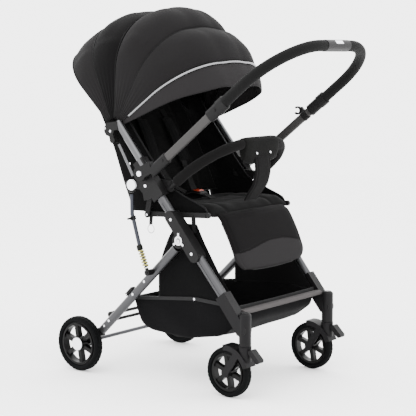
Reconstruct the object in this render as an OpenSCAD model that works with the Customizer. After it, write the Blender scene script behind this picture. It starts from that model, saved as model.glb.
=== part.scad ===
// Folding stroller with a swing-over handle, pleated hood, padded seat and sagging basket.
// Units are millimetres. +X is forward, +Y is the rider's left, +Z is up, the floor is Z = 0.

/* [Overall] */
// Half distance between front and rear axle lines
axle_half = 284.8; // [270:0.1:300]
// Distance from the middle plane to a front wheel's middle
front_track = 221; // [219:0.5:223]
// Distance from the middle plane to a rear wheel's middle
rear_track = 253; // [253:0.5:270]

/* [Wheels] */
// Rear wheel diameter
rear_wheel_d = 175; // [160:0.5:178]
// Rear tyre width
rear_tyre_w = 32; // [24:0.5:32]
// Front wheel diameter
front_wheel_d = 150.8; // [136:0.2:151]
// Front tyre width
front_tyre_w = 30; // [24:0.5:30]
// Number of spokes in each wheel
spokes = 6; // [5:1:8]
// Axle radius
axle_r = 6; // [4:0.5:7]

/* [Frame tubes] */
// Front leg width seen from the side
front_leg_w = 30; // [24:0.5:32]
// Rear leg width seen from the side
rear_leg_w = 27; // [22:0.5:29]
// Tube thickness across the stroller
tube_t = 24; // [20:0.5:24]
// Tube wall
tube_wall = 2; // [1.5:0.1:3]
// Push arm width seen from the side
arm_w = 28; // [22:0.5:30]
// Push arm thickness
arm_t = 17; // [12:0.5:17]

/* [Handle] */
// Foam grip diameter
grip_d = 33; // [26:0.5:35]
// Length of the centre control on the grip
control_l = 121; // [90:1:140]

/* [Soft parts] */
// Hood radius at its crown
hood_r = 372; // [330:1:376]
// Hood half width
hood_half = 228; // [205:1:228]
// Padding thickness of the seat
seat_pad_t = 26; // [15:1:30]
// Basket depth below its rim at the sides
basket_depth = 118; // [80:1:120]
// Footrest width
footrest_w = 355; // [300:1:360]

/* [Hidden] */
x_mid = 50;
clr = 0.05;
rw_r = rear_wheel_d / 2;
fw_r = front_wheel_d / 2;
caster_x = axle_half + 57.2;
pivot_fold = [115, 450];
pivot_handle = [-16, 646];
hood_hub = [-155, 772];
leg_top = [26, -235, 591];
leg_bot = [288, -222, 269];
rear_y = 224;
rear_top = [89, 424.5];
rear_bot = [-215, 134];
arm_y = 262;
arm_start = [46, 668];
grip_end = [500, 1026];
grip_bend = 185;
strut_y = 258;
strut_foot = [4, 346];
strut_low = [-2.67, 361.64];
hood_shoulder = 170;
bow_r = hood_r - 26;
brake_pivot = [-194, 184];
recline_pivot = [-96, 556];
footrest_pivot = [212, 519];
basket_low = 263 - basket_depth;
backrest_deg = 117;
eps = 0.3;

/* ---------- placing helpers ---------- */
module here() {
  translate([-x_mid, 0, 0]) children();
}

// Draws the right-hand piece and its mirror image on the left.
module both() {
  children();
  mirror([0, 1, 0]) children();
}

module left_side() {
  mirror([0, 1, 0]) children();
}

function ang(a, b) = atan2(b[1] - a[1], b[0] - a[0]);
function len2(a, b) = norm([b[0] - a[0], b[1] - a[1]]);

// Local +X runs from a towards b in the side plane at the given Y.
module along(a, b, y) {
  translate([a[0], y, a[1]]) rotate([0, -ang(a, b), 0]) children();
}

// Flat-sided oval, t across and w high.
module oval(w, t) {
  square([t, w - t], center = true);
  translate([0, (w - t) / 2]) circle(d = t, $fn = 48);
  translate([0, -(w - t) / 2]) circle(d = t, $fn = 48);
}

module rod_x(l, w, t) {
  rotate([90, 0, 90]) linear_extrude(l) oval(w, t);
}

module hollow_x(l, w, t, wall) {
  difference() {
    rod_x(l, w, t);
    translate([-1, 0, 0]) rod_x(l + 2, w - 2 * wall, t - 2 * wall);
  }
}

// Side-plane plate between two Y values, drawn from a 2-D outline in X and Z.
module slab(y0, y1) {
  translate([0, y1, 0]) rotate([90, 0, 0]) linear_extrude(y1 - y0) children();
}

module link2d(a, b, w) {
  translate([a[0], a[1]]) rotate(ang(a, b)) translate([0, -w / 2]) square([len2(a, b), w]);
}

module dot2d(a, r) {
  translate([a[0], a[1]]) circle(r = r, $fn = 64);
}

module pin_y(a, y0, y1, r) {
  translate([a[0], y0, a[1]]) rotate([-90, 0, 0]) cylinder(r = r, h = y1 - y0, $fn = 48);
}

// Straight solid rod between two side-plane points.
module rod(a, b, y, r) {
  along(a, b, y) rotate([0, 90, 0]) cylinder(r = r, h = len2(a, b), $fn = 40);
}

/* ---------- rear frame ---------- */
module rear_legs() {
  color([0.42, 0.42, 0.43]) here() both() along(rear_top, rear_bot, -rear_y)
    hollow_x(len2(rear_top, rear_bot), rear_leg_w, tube_t, tube_wall);
}

// Flat tongue on the inner side of each rear leg, turning on the fold pin.
module leg_heads() {
  both() {
    inner = rear_y - tube_t / 2;
    difference() {
      slab(-inner, -inner + 9) {
        dot2d(pivot_fold, 19);
        link2d(pivot_fold, [pivot_fold[0] - 62, pivot_fold[1] - 58.7], 25);
      }
      pin_y(pivot_fold, -inner - 1, -inner + 10, axle_r + clr);
    }
    along(rear_top, rear_bot, -rear_y)
      rod_x(40, rear_leg_w - 2 * tube_wall, tube_t - 2 * tube_wall);
  }
}

module leg_feet() {
  both() {
    c = [-axle_half, rw_r];
    difference() {
      union() {
        slab(-rear_y - 11, -rear_y + 11) {
          difference() {
            union() {
              link2d([rear_bot[0] - 4.2, rear_bot[1] - 4.2], c, 27);
              dot2d(c, 17);
            }
            dot2d(c, axle_r);
          }
        }
        along(rear_bot, rear_top, -rear_y) translate([-9, 0, 0])
          rod_x(43, rear_leg_w - 2 * tube_wall, tube_t - 2 * tube_wall);
      }
      pin_y(c, -rear_y - 20, -rear_y + 20, axle_r);
    }
  }
}

module rear_leg_ends() {
  color([0.06, 0.06, 0.06]) here() {
    leg_heads();
    leg_feet();
  }
}

module rear_axle() {
  color([0.5, 0.5, 0.52]) here()
    pin_y([-axle_half, rw_r], -rear_track - rear_tyre_w / 2 + 3, rear_track + rear_tyre_w / 2 - 3, axle_r);
}

module leg_rivets() {
  color([0.85, 0.85, 0.87]) here() both() {
    for (p = [[-29, 311.8], [-76, 266.9], [-176, 171.3], [-196, 152.2]]) {
      pin_y(p, -rear_y - tube_t / 2 - 2, -rear_y - tube_t / 2, 4);
    }
  }
}

// Hook on the back of the right leg that holds the folded frame shut.
module storage_clip() {
  color([0.08, 0.08, 0.08]) here() {
    along(rear_top, rear_bot, -rear_y) translate([222, 0, -rear_leg_w / 2 - 9]) difference() {
      translate([0, -9, 0]) cube([34, 18, 9]);
      translate([13, -10, 2.5]) cube([22, 20, 3.5]);
    }
  }
}

/* ---------- spring struts ---------- */
module strut_seats() {
  color([0.1, 0.11, 0.1]) here() both() {
    difference() {
      union() {
        slab(-rear_y - tube_t / 2 - 10, -rear_y - tube_t / 2 - 3) dot2d(strut_foot, 9);
        along(strut_foot, [-25, 414], -strut_y) translate([3, 0, 0]) rotate([0, 90, 0])
          cylinder(r = 5.5, h = 11, $fn = 40);
        slab(-strut_y - 6, -rear_y - tube_t / 2 - 3) dot2d(strut_foot, 9);
      }
      pin_y(strut_foot, -strut_y - 20, -200, 3);
    }
    pin_y(strut_foot, -strut_y - 8, -rear_y - tube_t / 2, 3 - clr);
  }
}

module strut_tubes() {
  color([0.3, 0.31, 0.34]) here() both() {
    a = [-25, 414];
    b = [-49, 495];
    c = [-57, 520];
    d = [-58, 580];
    rod(strut_low, a, -strut_y, 4);
    rod(a, b, -strut_y, 6);
    translate([b[0], -strut_y, b[1]]) sphere(r = 6.5, $fn = 40);
    rod(b, c, -strut_y, 6);
    translate([c[0], -strut_y, c[1]]) sphere(r = 6.3, $fn = 40);
    rod(c, d, -strut_y, 6);
  }
}

module strut_springs() {
  color([0.46, 0.44, 0.26]) here() both() {
    along(strut_low, [-25, 414], -strut_y) {
      for (i = [0 : 5]) {
        translate([4.5 + i * 9, 0, 0]) rotate([0, 90, 0])
          rotate_extrude($fn = 48) translate([6.8, 0]) circle(r = 2.7, $fn = 24);
      }
    }
  }
}

// Collar and cross peg on each strut, the peg's outer end is free.
module strut_pegs() {
  color([0.07, 0.07, 0.07]) here() both() {
    q = [-53, 507.5];
    difference() {
      union() {
        pin_y(q, -strut_y - 25, -strut_y + 10, 3);
        pin_y(q, -strut_y - 10, -strut_y, 5);
        along([-49, 495], [-57, 520], -strut_y) translate([8, 0, 0]) rotate([0, 90, 0])
          cylinder(r = 9, h = 11, $fn = 40);
      }
      rod([-49, 495], [-57, 520], -strut_y, 6);
    }
  }
}

// Thin pull ring hanging under the seat edge on the right.
module strap_ring() {
  color([0.6, 0.6, 0.62]) here() {
    translate([-10, -226, 475]) rotate([90, 0, 0]) rotate_extrude($fn = 48)
      translate([12.5, 0]) circle(r = 1.3, $fn = 16);
  }
}

/* ---------- parking brake ---------- */
module brake_bar() {
  color([0.09, 0.09, 0.1]) here() {
    y = rear_y - tube_t / 2 - 1;
    for (p = [[-178, 191], [-199, 164]]) {
      pin_y(p, -y + 8, y - 8, 5);
    }
    both() slab(-y, -y + 8) {
      link2d([-178, 191], [-199, 164], 14);
      dot2d([-178, 191], 8);
      dot2d([-199, 164], 8);
      dot2d(brake_pivot, 10);
    }
  }
}

/* ---------- wheels, drawn about the origin with the axle along Y ---------- */
module rim(r, w, rb, hub_r, hub_w) {
  difference() {
    union() {
      pin_y([0, 0], -w * 0.3, w * 0.3, r);
      pin_y([0, 0], -w * 0.42, w * 0.42, r - 3);
    }
    pin_y([0, 0], -w, w, r - 9);
  }
  difference() {
    union() {
      pin_y([0, 0], -hub_w / 2, hub_w / 2, hub_r);
      for (i = [0 : spokes - 1]) {
        rotate([0, i * 360 / spokes + 20, 0]) translate([hub_r - 4, -w * 0.28, -6.5])
          cube([r - hub_r - 3, w * 0.56, 13]);
      }
    }
    pin_y([0, 0], -w, w, rb);
  }
}

module tyre(r_out, r_in, w) {
  c = w * 0.28;
  rotate([90, 0, 0]) rotate_extrude($fn = 96) difference() {
    union() {
      translate([r_in, -w / 2 + c]) square([r_out - r_in, w - 2 * c]);
      translate([r_in, -w / 2]) square([r_out - r_in - c, w]);
      translate([r_out - c, w / 2 - c]) circle(r = c, $fn = 48);
      translate([r_out - c, -w / 2 + c]) circle(r = c, $fn = 48);
    }
    translate([r_in - 1, -w * 0.3]) square([1, w * 0.6]);
    translate([r_in - 3, -w]) square([3, 2 * w]);
  }
}

module rear_at() {
  translate([-axle_half, -rear_track, rw_r]) children();
}

module rear_rim() {
  color([0.05, 0.05, 0.05]) here() rear_at() rim(rw_r - 19, rear_tyre_w, axle_r + clr, 22, rear_tyre_w - 4);
}

module rear_tyre() {
  color([0.11, 0.11, 0.11]) here() rear_at() tyre(rw_r, rw_r - 19, rear_tyre_w);
}

module rear_cap() {
  color([0.8, 0.8, 0.82]) here() rear_at()
    pin_y([0, 0], -rear_tyre_w / 2, -rear_tyre_w / 2 + 2, 20);
}

module rear_rim_right() {
  rear_rim();
}

module rear_rim_left() {
  left_side() rear_rim();
}

module rear_tyre_right() {
  rear_tyre();
}

module rear_tyre_left() {
  left_side() rear_tyre();
}

module rear_cap_right() {
  rear_cap();
}

module rear_cap_left() {
  left_side() rear_cap();
}

module front_at() {
  translate([axle_half, -front_track, fw_r]) children();
}

module front_rim() {
  color([0.05, 0.05, 0.05]) here() front_at() rim(fw_r - 17, front_tyre_w, 4 + clr, 16, front_tyre_w - 1);
}

module front_tyre() {
  color([0.11, 0.11, 0.11]) here() front_at() tyre(fw_r, fw_r - 17, front_tyre_w);
}

module front_rim_right() {
  front_rim();
}

module front_rim_left() {
  left_side() front_rim();
}

module front_tyre_right() {
  front_tyre();
}

module front_tyre_left() {
  left_side() front_tyre();
}

/* ---------- swivelling front forks ---------- */
module sector2d(r0, r1, a0, a1) {
  difference() {
    intersection() {
      circle(r = r1, $fn = 96);
      polygon([[0, 0], [200 * cos(a0), 200 * sin(a0)],
        [260 * cos((a0 + a1) / 2), 260 * sin((a0 + a1) / 2)], [200 * cos(a1), 200 * sin(a1)]]);
    }
    circle(r = r0, $fn = 96);
  }
}

module fork() {
  half = front_tyre_w / 2 + 1.5;
  top = [57.2, 160 - 75.4 - 1];
  color([0.07, 0.07, 0.075]) here() front_at() {
    for (s = [0, 1]) {
      mirror([0, s, 0]) slab(-half - 6, -half) {
        dot2d([0, 0], 13);
        link2d([0, 0], [42, 62], 22);
        sector2d(fw_r - 8, fw_r + 8, 18, 96);
      }
    }
    difference() {
      slab(-half, half) sector2d(fw_r + 3, fw_r + 8, 18, 96);
      pin_y([0, 0], -half, half, 8);
    }
    difference() {
      union() {
        translate([top[0], 0, 38]) cylinder(r = 19, h = top[1] - 38, $fn = 64);
      }
      pin_y([0, 0], -40, 40, fw_r + 3);
    }
    translate([top[0], 0, top[1] - 5]) cylinder(r = 8, h = 72, $fn = 48);
    pin_y([0, 0], -half, half, 4);
  }
}

module lock_pedal() {
  color([0.1, 0.095, 0.1]) here() front_at() slab(-13, 13) {
    link2d([84.2, 70], [107, 47], 15);
    dot2d([84.2, 70], 7.6);
    dot2d([107, 47], 7.6);
  }
}

module lock_pedal_right() {
  lock_pedal();
}

module lock_pedal_left() {
  left_side() lock_pedal();
}

module fork_right() {
  fork();
}

module fork_left() {
  left_side() fork();
}

/* ---------- front frame ---------- */
module leg_line() {
  d = leg_bot - leg_top;
  translate(leg_top) rotate([0, -atan2(d[2], norm([d[0], d[1]])), atan2(d[1], d[0])]) children();
}

module leg_solid(x0, x1, grow) {
  translate([x0, 0, 0]) rod_x(x1 - x0, front_leg_w + 2 * grow, tube_t + 2 * grow);
}

function leg_len() = norm(leg_bot - leg_top);

module front_legs() {
  color([0.46, 0.46, 0.47]) here() both() difference() {
    leg_line() difference() {
      leg_solid(0, leg_len(), 0);
      translate([-1, 0, 0]) rod_x(leg_len() + 2, front_leg_w - 5, tube_t - 8);
      translate([40, -tube_t / 2 - 1, -2]) cube([leg_len() - 80, 2.2, 4]);
    }
    pin_y(pivot_fold, -260, -200, axle_r + clr);
  }
}

// Long pivot shell round each front leg where the rear leg meets it.
module fold_covers() {
  color([0.06, 0.06, 0.065]) here() both() {
    inner = rear_y - tube_t / 2 - 0.5;
    difference() {
      union() {
        slab(-250, -inner - 1) link2d([81, 522], [174, 408], 36);
        slab(-250, -inner - 1) dot2d(pivot_fold, 22);
        slab(-250, -inner - 1) dot2d([82, 521], 17.8);
        slab(-250, -inner - 1) dot2d([173, 409], 17.8);
      }
      leg_line() leg_solid(-10, leg_len() + 10, 0);
      pin_y(pivot_fold, -260, -200, axle_r);
    }
  }
}

// Fold pins, cover rivets and a plain three-armed trim ring over each pivot.
module fold_pivots() {
  color([0.72, 0.72, 0.73]) here() both() {
    pin_y(pivot_fold, -250, -rear_y + tube_t / 2 + 10, axle_r);
    for (p = [[88, 513], [167, 417]]) {
      pin_y(p, -252, -250, 4.5);
    }
    slab(-252.5, -250) {
      for (a = [90, 215, 325]) {
        translate([118, 452]) rotate(a) translate([10, -3]) square([13, 6]);
      }
      translate([118, 452]) difference() {
        circle(r = 14, $fn = 64);
        circle(r = 8, $fn = 48);
      }
    }
  }
}

// Black upper housing joining front leg, upper tube and push arm on each side.
module frame_housings() {
  color([0.08, 0.08, 0.085]) here() both() difference() {
    union() {
      slab(-250, -220) {
        dot2d(pivot_handle, 25);
        dot2d([-11, 608], 25);
        link2d(pivot_handle, [-11, 608], 50);
        link2d([-11, 608], [-63, 608], 26);
        dot2d([-63, 608], 17);
        link2d([-8, 632], [40, 574], 44);
        link2d(pivot_handle, [-44, 682], 40);
        link2d([-14, 618], [-2, 566], 30);
      }
      slab(-221, -204) {
        link2d([-20, 612], [64, 609], 34);
      }
      slab(-220, -212) {
        link2d([-11, 608], [-31, 516], 18);
        dot2d([-31, 516], 9);
      }
    }
    leg_line() leg_solid(-9, 100, 0);
    along([-24, 669], [-128, 796], -240) translate([-6, 0, 0]) rod_x(80, 25, 22);
    pin_y(pivot_handle, -260, -238, axle_r);
    bumper_plane() translate([-16, -216, 0]) rotate([0, 90, 0]) cylinder(r = 8, h = 40, $fn = 40);
    pin_y([-63, 608], -252, -246, 6);
  }
}

module latch_discs() {
  color([0.86, 0.86, 0.88]) here() both() {
    pin_y([-63, 608], -256, -250, 16.5);
    pin_y([-63, 608], -250, -246, 6);
    pin_y([-11, 608], -251.5, -250, 4.5);
    pin_y(pivot_handle, -272, -238, axle_r);
    pin_y(pivot_handle, -275, -272.1, 8);
    pin_y(pivot_handle, -272.2, -272, axle_r);
  }
}

// Upper frame tubes with the thin back stay behind each.
module upper_tubes() {
  color([0.5, 0.5, 0.51]) here() both() {
    along([-24, 669], [-128, 796], -240) translate([-6, 0, 0])
      hollow_x(len2([-24, 669], [-128, 796]) + 6, 25, 22, 2);
    rod([-82, 632], [-138, 727], -222, 5.5);
  }
}

// Hood hinge block and knob at the top of each upper tube.
module hood_hinges() {
  color([0.07, 0.07, 0.07]) here() {
    both() {
      difference() {
        union() {
          slab(-252, -hood_half - 0.5) {
            dot2d(hood_hub, 20);
            link2d([-120, 786], [-164, 780], 26);
            link2d(hood_hub, [-141, 741], 18);
            dot2d([-141, 741], 9);
          }
          pin_y([-141, 741], -253, -252, 10);
        }
        along([-24, 669], [-128, 796], -240)
          rod_x(len2([-24, 669], [-128, 796]) + 0.01, 25, 22);
      }
      pin_y(hood_hub, -hood_half - 0.5, -hood_half + 12, 5);
    }
    bow(136);
  }
}

module columns() {
  color([0.07, 0.065, 0.07]) here() both() difference() {
    union() {
      translate([caster_x, -front_track, 160]) cylinder(r = 18, h = 92, $fn = 64);
      translate([caster_x, -front_track, 252]) cylinder(r1 = 18, r2 = 12, h = 6, $fn = 64);
      slab(-front_track - 17, -front_track + 15) {
        link2d([262, 301], [caster_x - 2, 203], 38);
        dot2d([caster_x - 6, 208], 19);
      }
    }
    leg_line() leg_solid(200, leg_len(), 0);
    translate([caster_x, -front_track, 150]) cylinder(r = 8 + clr, h = 85, $fn = 48);
  }
}

module front_cross_bar() {
  color([0.2, 0.19, 0.19]) here() {
    w = front_track - 15;
    translate([318, -w, 254]) rotate([-90, 0, 0]) linear_extrude(2 * w) rotate(90) oval(26, 14);
  }
}

/* ---------- seat ---------- */
// Side rails, the drop links to the fold covers and the sling between the rails.
module seat_rails() {
  color([0.08, 0.08, 0.08]) here() {
    both() {
      slab(-212, -203) {
        link2d([-42, 517], [195, 529], 16);
        dot2d([195, 529], 8.5);
        link2d([140, 525], [143, 478], 9);
      }
      slab(-212.5, -203) dot2d([143, 478], 6.2);
      for (p = [[140, 525], [187, 528.6]]) {
        pin_y(p, -214, -212, 4);
      }
    }
    slab(-203.5, 203.5) link2d([-55, 513], [188, 525], 5);
  }
}

module seat_pad() {
  color([0.05, 0.05, 0.05]) here() slab(-197, 197) {
    translate([0, 4.2]) link2d([-88, 510.5 + seat_pad_t / 2], [183, 523.5 + seat_pad_t / 2], seat_pad_t);
    translate([0, 4.2]) dot2d([183, 523.5 + seat_pad_t / 2], seat_pad_t / 2 - 0.4);
  }
}

module back_line() {
  along([-96, 556], [-96 + 100 * cos(backrest_deg), 556 + 100 * sin(backrest_deg)], 0) children();
}

module backrest_pad() {
  color([0.05, 0.05, 0.05]) here() back_line() {
    translate([8, -180, -10]) cube([322, 360, 26]);
    translate([8, -188, -8]) cube([300, 376, 22]);
    pin_y([0, 0], -180, 180, 10);
  }
}

// Shoulder straps lying on the backrest.
module harness() {
  color([0.04, 0.04, 0.04]) here() back_line() both()
    translate([50, -68, -18]) cube([200, 36, 7]);
}

// Buckle and lap straps on the seat.
module buckle() {
  color([0.1, 0.04, 0.03]) here() {
    translate([-40, -22, 551]) cube([80, 44, 14]);
    both() translate([-30, -150, 552]) cube([30, 128, 5]);
  }
}

module side_wings() {
  color([0.05, 0.05, 0.05]) here() both() slab(-203, -199.5)
    polygon([[-104, 548], [70, 548], [30, 610], [-30, 690], [-118, 800], [-190, 800]]);
}

/* ---------- bumper bar ---------- */
module bumper_plane() {
  translate([61, 0, 606]) rotate([0, -37.5, 0]) children();
}

module bumper_path(r, x0) {
  both() {
    translate([x0, -216, 0]) rotate([0, 90, 0]) cylinder(r = r, h = 50 - x0, $fn = 40);
    translate([50, -50, 0]) rotate([0, 0, -90]) rotate_extrude(angle = 90, $fn = 96)
      translate([166, 0]) circle(r = r, $fn = 40);
    translate([216, -50, 0]) rotate([-90, 0, 0]) cylinder(r = r, h = 50, $fn = 40);
  }
}

module bumper_bar() {
  color([0.12, 0.12, 0.12]) here() bumper_plane() bumper_path(8, -14);
}

module bumper_pad() {
  color([0.07, 0.07, 0.07]) here() difference() {
    union() {
      bumper_plane() bumper_path(15.5, 26);
      slab(-85, 85) {
        link2d([229, 742], [236, 690], 14);
        dot2d([236, 690], 7.1);
      }
      slab(-38, 38) {
        link2d([238, 692], [246, 647], 10);
        dot2d([246, 647], 5.1);
        link2d([246, 647], [236, 609], 10);
        dot2d([236, 609], 5.1);
        link2d([236, 609], [207, 572], 10);
      }
    }
    bumper_plane() bumper_path(8, 0);
  }
}

/* ---------- footrest ---------- */
module footrest_pad() {
  color([0.08, 0.075, 0.08]) here() difference() {
    slab(-footrest_w / 2, footrest_w / 2) {
      link2d([212, 519], [284, 372], 18);
      dot2d([284, 372], 9);
      dot2d([212, 519], 9);
    }
    for (s = [-1, 1]) {
      translate([284, s * footrest_w / 2, 372]) rotate([0, 63.9, 0])
        translate([-40 + 9, -20, -20]) difference() {
          translate([20, 0, 0]) cube([40, 40, 40]);
          translate([10.9, s > 0 ? 0 : 40, -1]) cylinder(r = 20, h = 42, $fn = 48);
        }
    }
  }
}

/* ---------- basket ---------- */
function basket_out(d) = [[-104 + d, 247], [-90 + d, 205], [-77 + d, basket_low + 23 + d * 0.6],
  [-36 + d * 0.5, basket_low + 9 + d], [103, basket_low + d], [236 - d * 0.5, basket_low + 24 + d],
  [300 - d, 215], [301 - d, 262], [225, 266], [137, 269]];

// Side cloth rising from the basket rim to the fold pivot.
function gusset_out() = [[-5, 246], [-5, 345], [12, 400], [35, 450], [66, 490], [143, 490],
  [300, 262], [137, 266]];

module basket() {
  color([0.035, 0.035, 0.04]) here() difference() {
    slab(-196, 196) polygon(basket_out(0));
    slab(-192, 192) {
      polygon(basket_out(4));
      polygon([[-97, 246], [297, 250], [297, 300], [-97, 300]]);
    }
  }
  color([0.035, 0.035, 0.04]) here() both() slab(-196, -192.2) polygon(gusset_out());
}

module basket_rim() {
  color([0.1, 0.1, 0.1]) here() both() {
    slab(-200, -196.3) {
      link2d([-104, 247], [137, 271], 12);
      link2d([130, 270.5], [300, 262], 12);
    }
    slab(-211, -200) dot2d([-92, 247], 5);
    slab(-204, -200) dot2d([137, 270], 4);
  }
}

/* ---------- hood ---------- */
// Half profile in radius (X) and width (Y) of an arch with rounded shoulders.
module hood2d(r, w, rc) {
  translate([0, -w]) square([r - rc, 2 * w]);
  translate([0, -(w - rc)]) square([r, 2 * (w - rc)]);
  translate([r - rc, w - rc]) circle(r = rc, $fn = 96);
  translate([r - rc, -(w - rc)]) circle(r = rc, $fn = 96);
}

module hood_skin2d(r, w, rc, t) {
  intersection() {
    difference() {
      hood2d(r, w, rc);
      hood2d(r - t, w - t, rc - t);
    }
    translate([26, -300]) square([600, 600]);
  }
}

module fan(a0, a1, r, w, rc, t) {
  translate([hood_hub[0], 0, hood_hub[1]]) rotate([90, 0, 0]) rotate([0, 0, a0])
    rotate_extrude(angle = a1 - a0, $fn = 180) hood_skin2d(r, w, rc, t);
}

// Flat bow of the hood at one angle.
module bow(a) {
  y = hood_half - 6;
  translate([hood_hub[0], 0, hood_hub[1]]) rotate([0, -a, 0]) intersection() {
    translate([0, 0, -2]) linear_extrude(4) difference() {
      hood2d(bow_r, y, hood_shoulder - 6);
      hood2d(bow_r - 6, y - 6, hood_shoulder - 12);
    }
    translate([40, -300, -5]) cube([600, 600, 10]);
  }
}

module hood_bow_2() {
  color([0.1, 0.1, 0.1]) here() bow(113);
}

module hood_bow_3() {
  color([0.1, 0.1, 0.1]) here() bow(87);
}

module hood_bow_4() {
  color([0.1, 0.1, 0.1]) here() bow(61);
}

module hood_bow_5() {
  color([0.1, 0.1, 0.1]) here() bow(36);
}

module hood_panel_1() {
  color([0.15, 0.145, 0.15]) here() fan(113.3, 138, hood_r - 20, hood_half, hood_shoulder, 5);
}

module hood_panel_2() {
  color([0.1, 0.1, 0.1]) here() fan(87.3, 112.7, hood_r - 14, hood_half, hood_shoulder, 5);
}

module hood_panel_3() {
  color([0.15, 0.145, 0.15]) here() fan(61.3, 86.7, hood_r, hood_half, hood_shoulder, 5);
}

module hood_panel_4() {
  color([0.15, 0.145, 0.15]) here() fan(36.3, 60.7, hood_r - 6, hood_half, hood_shoulder, 5);
}

module hood_visor() {
  color([0.12, 0.12, 0.12]) here() fan(23, 35.2, hood_r - 30, hood_half, hood_shoulder, 5);
}

/* ---------- push handle ---------- */
module arm_line() {
  along(arm_start, grip_end, 0) children();
}

function arm_len() = len2(arm_start, grip_end);

module arm_tubes() {
  color([0.31, 0.31, 0.31]) here() both() arm_line()
    translate([-10, -arm_y, 0]) hollow_x(300, arm_w, arm_t, 2);
}

// Pivot hubs with their collars, and the clamps where the grip enters the arms.
module arm_fittings() {
  color([0.075, 0.075, 0.08]) here() both() {
    difference() {
      union() {
        slab(-272, -252) {
          dot2d(pivot_handle, 23);
          link2d(pivot_handle, [28, 668], 36);
        }
        arm_line() translate([-24, -arm_y, 0]) rod_x(74, arm_w + 8, arm_t + 3);
      }
      arm_line() translate([-10, -arm_y, 0]) rod_x(300, arm_w, arm_t);
      pin_y(pivot_handle, -280, -245, axle_r + clr);
    }
    arm_line() translate([34, -arm_y, 0]) pin_y([0, 0], -arm_t / 2 - 3, -arm_t / 2 - 1, 4.5);
    arm_line() {
      difference() {
        union() {
          translate([252, -arm_y, 0]) rod_x(70, arm_w + 10, arm_t + 8);
          translate([296, -arm_y, 0]) rod_x(26, arm_w + 14, arm_t + 12);
        }
        translate([-10, -arm_y, 0]) rod_x(300, arm_w, arm_t);
        translate([280, -arm_y, 0]) rotate([0, 90, 0]) cylinder(r = 7, h = 60, $fn = 48);
      }
      translate([284, -arm_y, 0]) pin_y([0, 0], -arm_t / 2 - 6, -arm_t / 2 - 3.5, 4.5);
    }
  }
}

// Small open hook on the upper side of the left arm for a bag.
module bag_hook() {
  color([0.1, 0.1, 0.1]) here() arm_line() left_side() translate([226, -arm_y, 0]) {
    difference() {
      translate([-8, 0, 0]) rod_x(20, arm_w + 5, arm_t + 5);
      translate([-20, 0, 0]) rod_x(60, arm_w, arm_t);
    }
    slab(-5, 5) difference() {
      union() {
        dot2d([-12, 29], 13.5);
        translate([-4, 14]) square([12, 15]);
      }
      dot2d([-12, 29], 8.5);
      translate([-30, 29]) square([17, 20]);
    }
  }
}

module grip_path(r) {
  l = arm_len() - grip_bend;
  both() {
    translate([322, -arm_y, 0]) rotate([0, 90, 0]) cylinder(r = r, h = l - 322, $fn = 40);
    translate([l, -arm_y + grip_bend, 0]) rotate([0, 0, -90]) rotate_extrude(angle = 90, $fn = 96)
      translate([grip_bend, 0]) circle(r = r, $fn = 40);
    translate([arm_len(), -arm_y + grip_bend, 0]) rotate([-90, 0, 0])
      cylinder(r = r, h = arm_y - grip_bend - control_l / 2, $fn = 40);
  }
}

module grip() {
  color([0.05, 0.05, 0.05]) here() arm_line() {
    difference() {
      grip_path(grip_d / 2);
      translate([arm_len(), 0, 0]) pin_y([0, 0], -control_l / 2 - 20, control_l / 2 + 20, 7);
    }
    both() translate([290, -arm_y, 0]) rotate([0, 90, 0]) cylinder(r = 7, h = 33, $fn = 48);
  }
}

module control_button2d() {
  square([38, 11], center = true);
}

module grip_control() {
  color([0.3, 0.28, 0.3]) here() arm_line() translate([arm_len(), 0, 0]) difference() {
    union() {
      translate([0, -control_l / 2, 0]) rotate([-90, 0, 0]) linear_extrude(control_l) rotate(90) oval(36, 32);
      pin_y([0, 0], -control_l / 2 - 20, control_l / 2 + 20, 7);
    }
    translate([8, -19.3, -5.8]) cube([20, 38.6, 11.6]);
  }
}

module fold_button() {
  color([0.85, 0.85, 0.86]) here() arm_line() translate([arm_len(), 0, 0])
    translate([11.5, -19, -5.5]) cube([6, 38, 11]);
}

/* ---------- output ---------- */
rear_legs();
rear_leg_ends();
rear_axle();
leg_rivets();
storage_clip();
strut_seats();
strut_tubes();
strut_springs();
strut_pegs();
strap_ring();
brake_bar();
rear_rim_right();
rear_tyre_right();
rear_cap_right();
rear_rim_left();
rear_tyre_left();
rear_cap_left();
front_legs();
fold_covers();
fold_pivots();
frame_housings();
latch_discs();
upper_tubes();
hood_hinges();
columns();
front_cross_bar();
seat_rails();
seat_pad();
harness();
buckle();
backrest_pad();
side_wings();
bumper_bar();
bumper_pad();
footrest_pad();
basket();
basket_rim();
hood_bow_2();
hood_bow_3();
hood_bow_4();
hood_bow_5();
hood_panel_1();
hood_panel_2();
hood_panel_3();
hood_panel_4();
hood_visor();
arm_tubes();
arm_fittings();
bag_hook();
grip();
grip_control();
fold_button();
fork_right();
fork_left();
front_rim_right();
front_rim_left();
front_tyre_right();
front_tyre_left();
lock_pedal_right();
lock_pedal_left();
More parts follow.
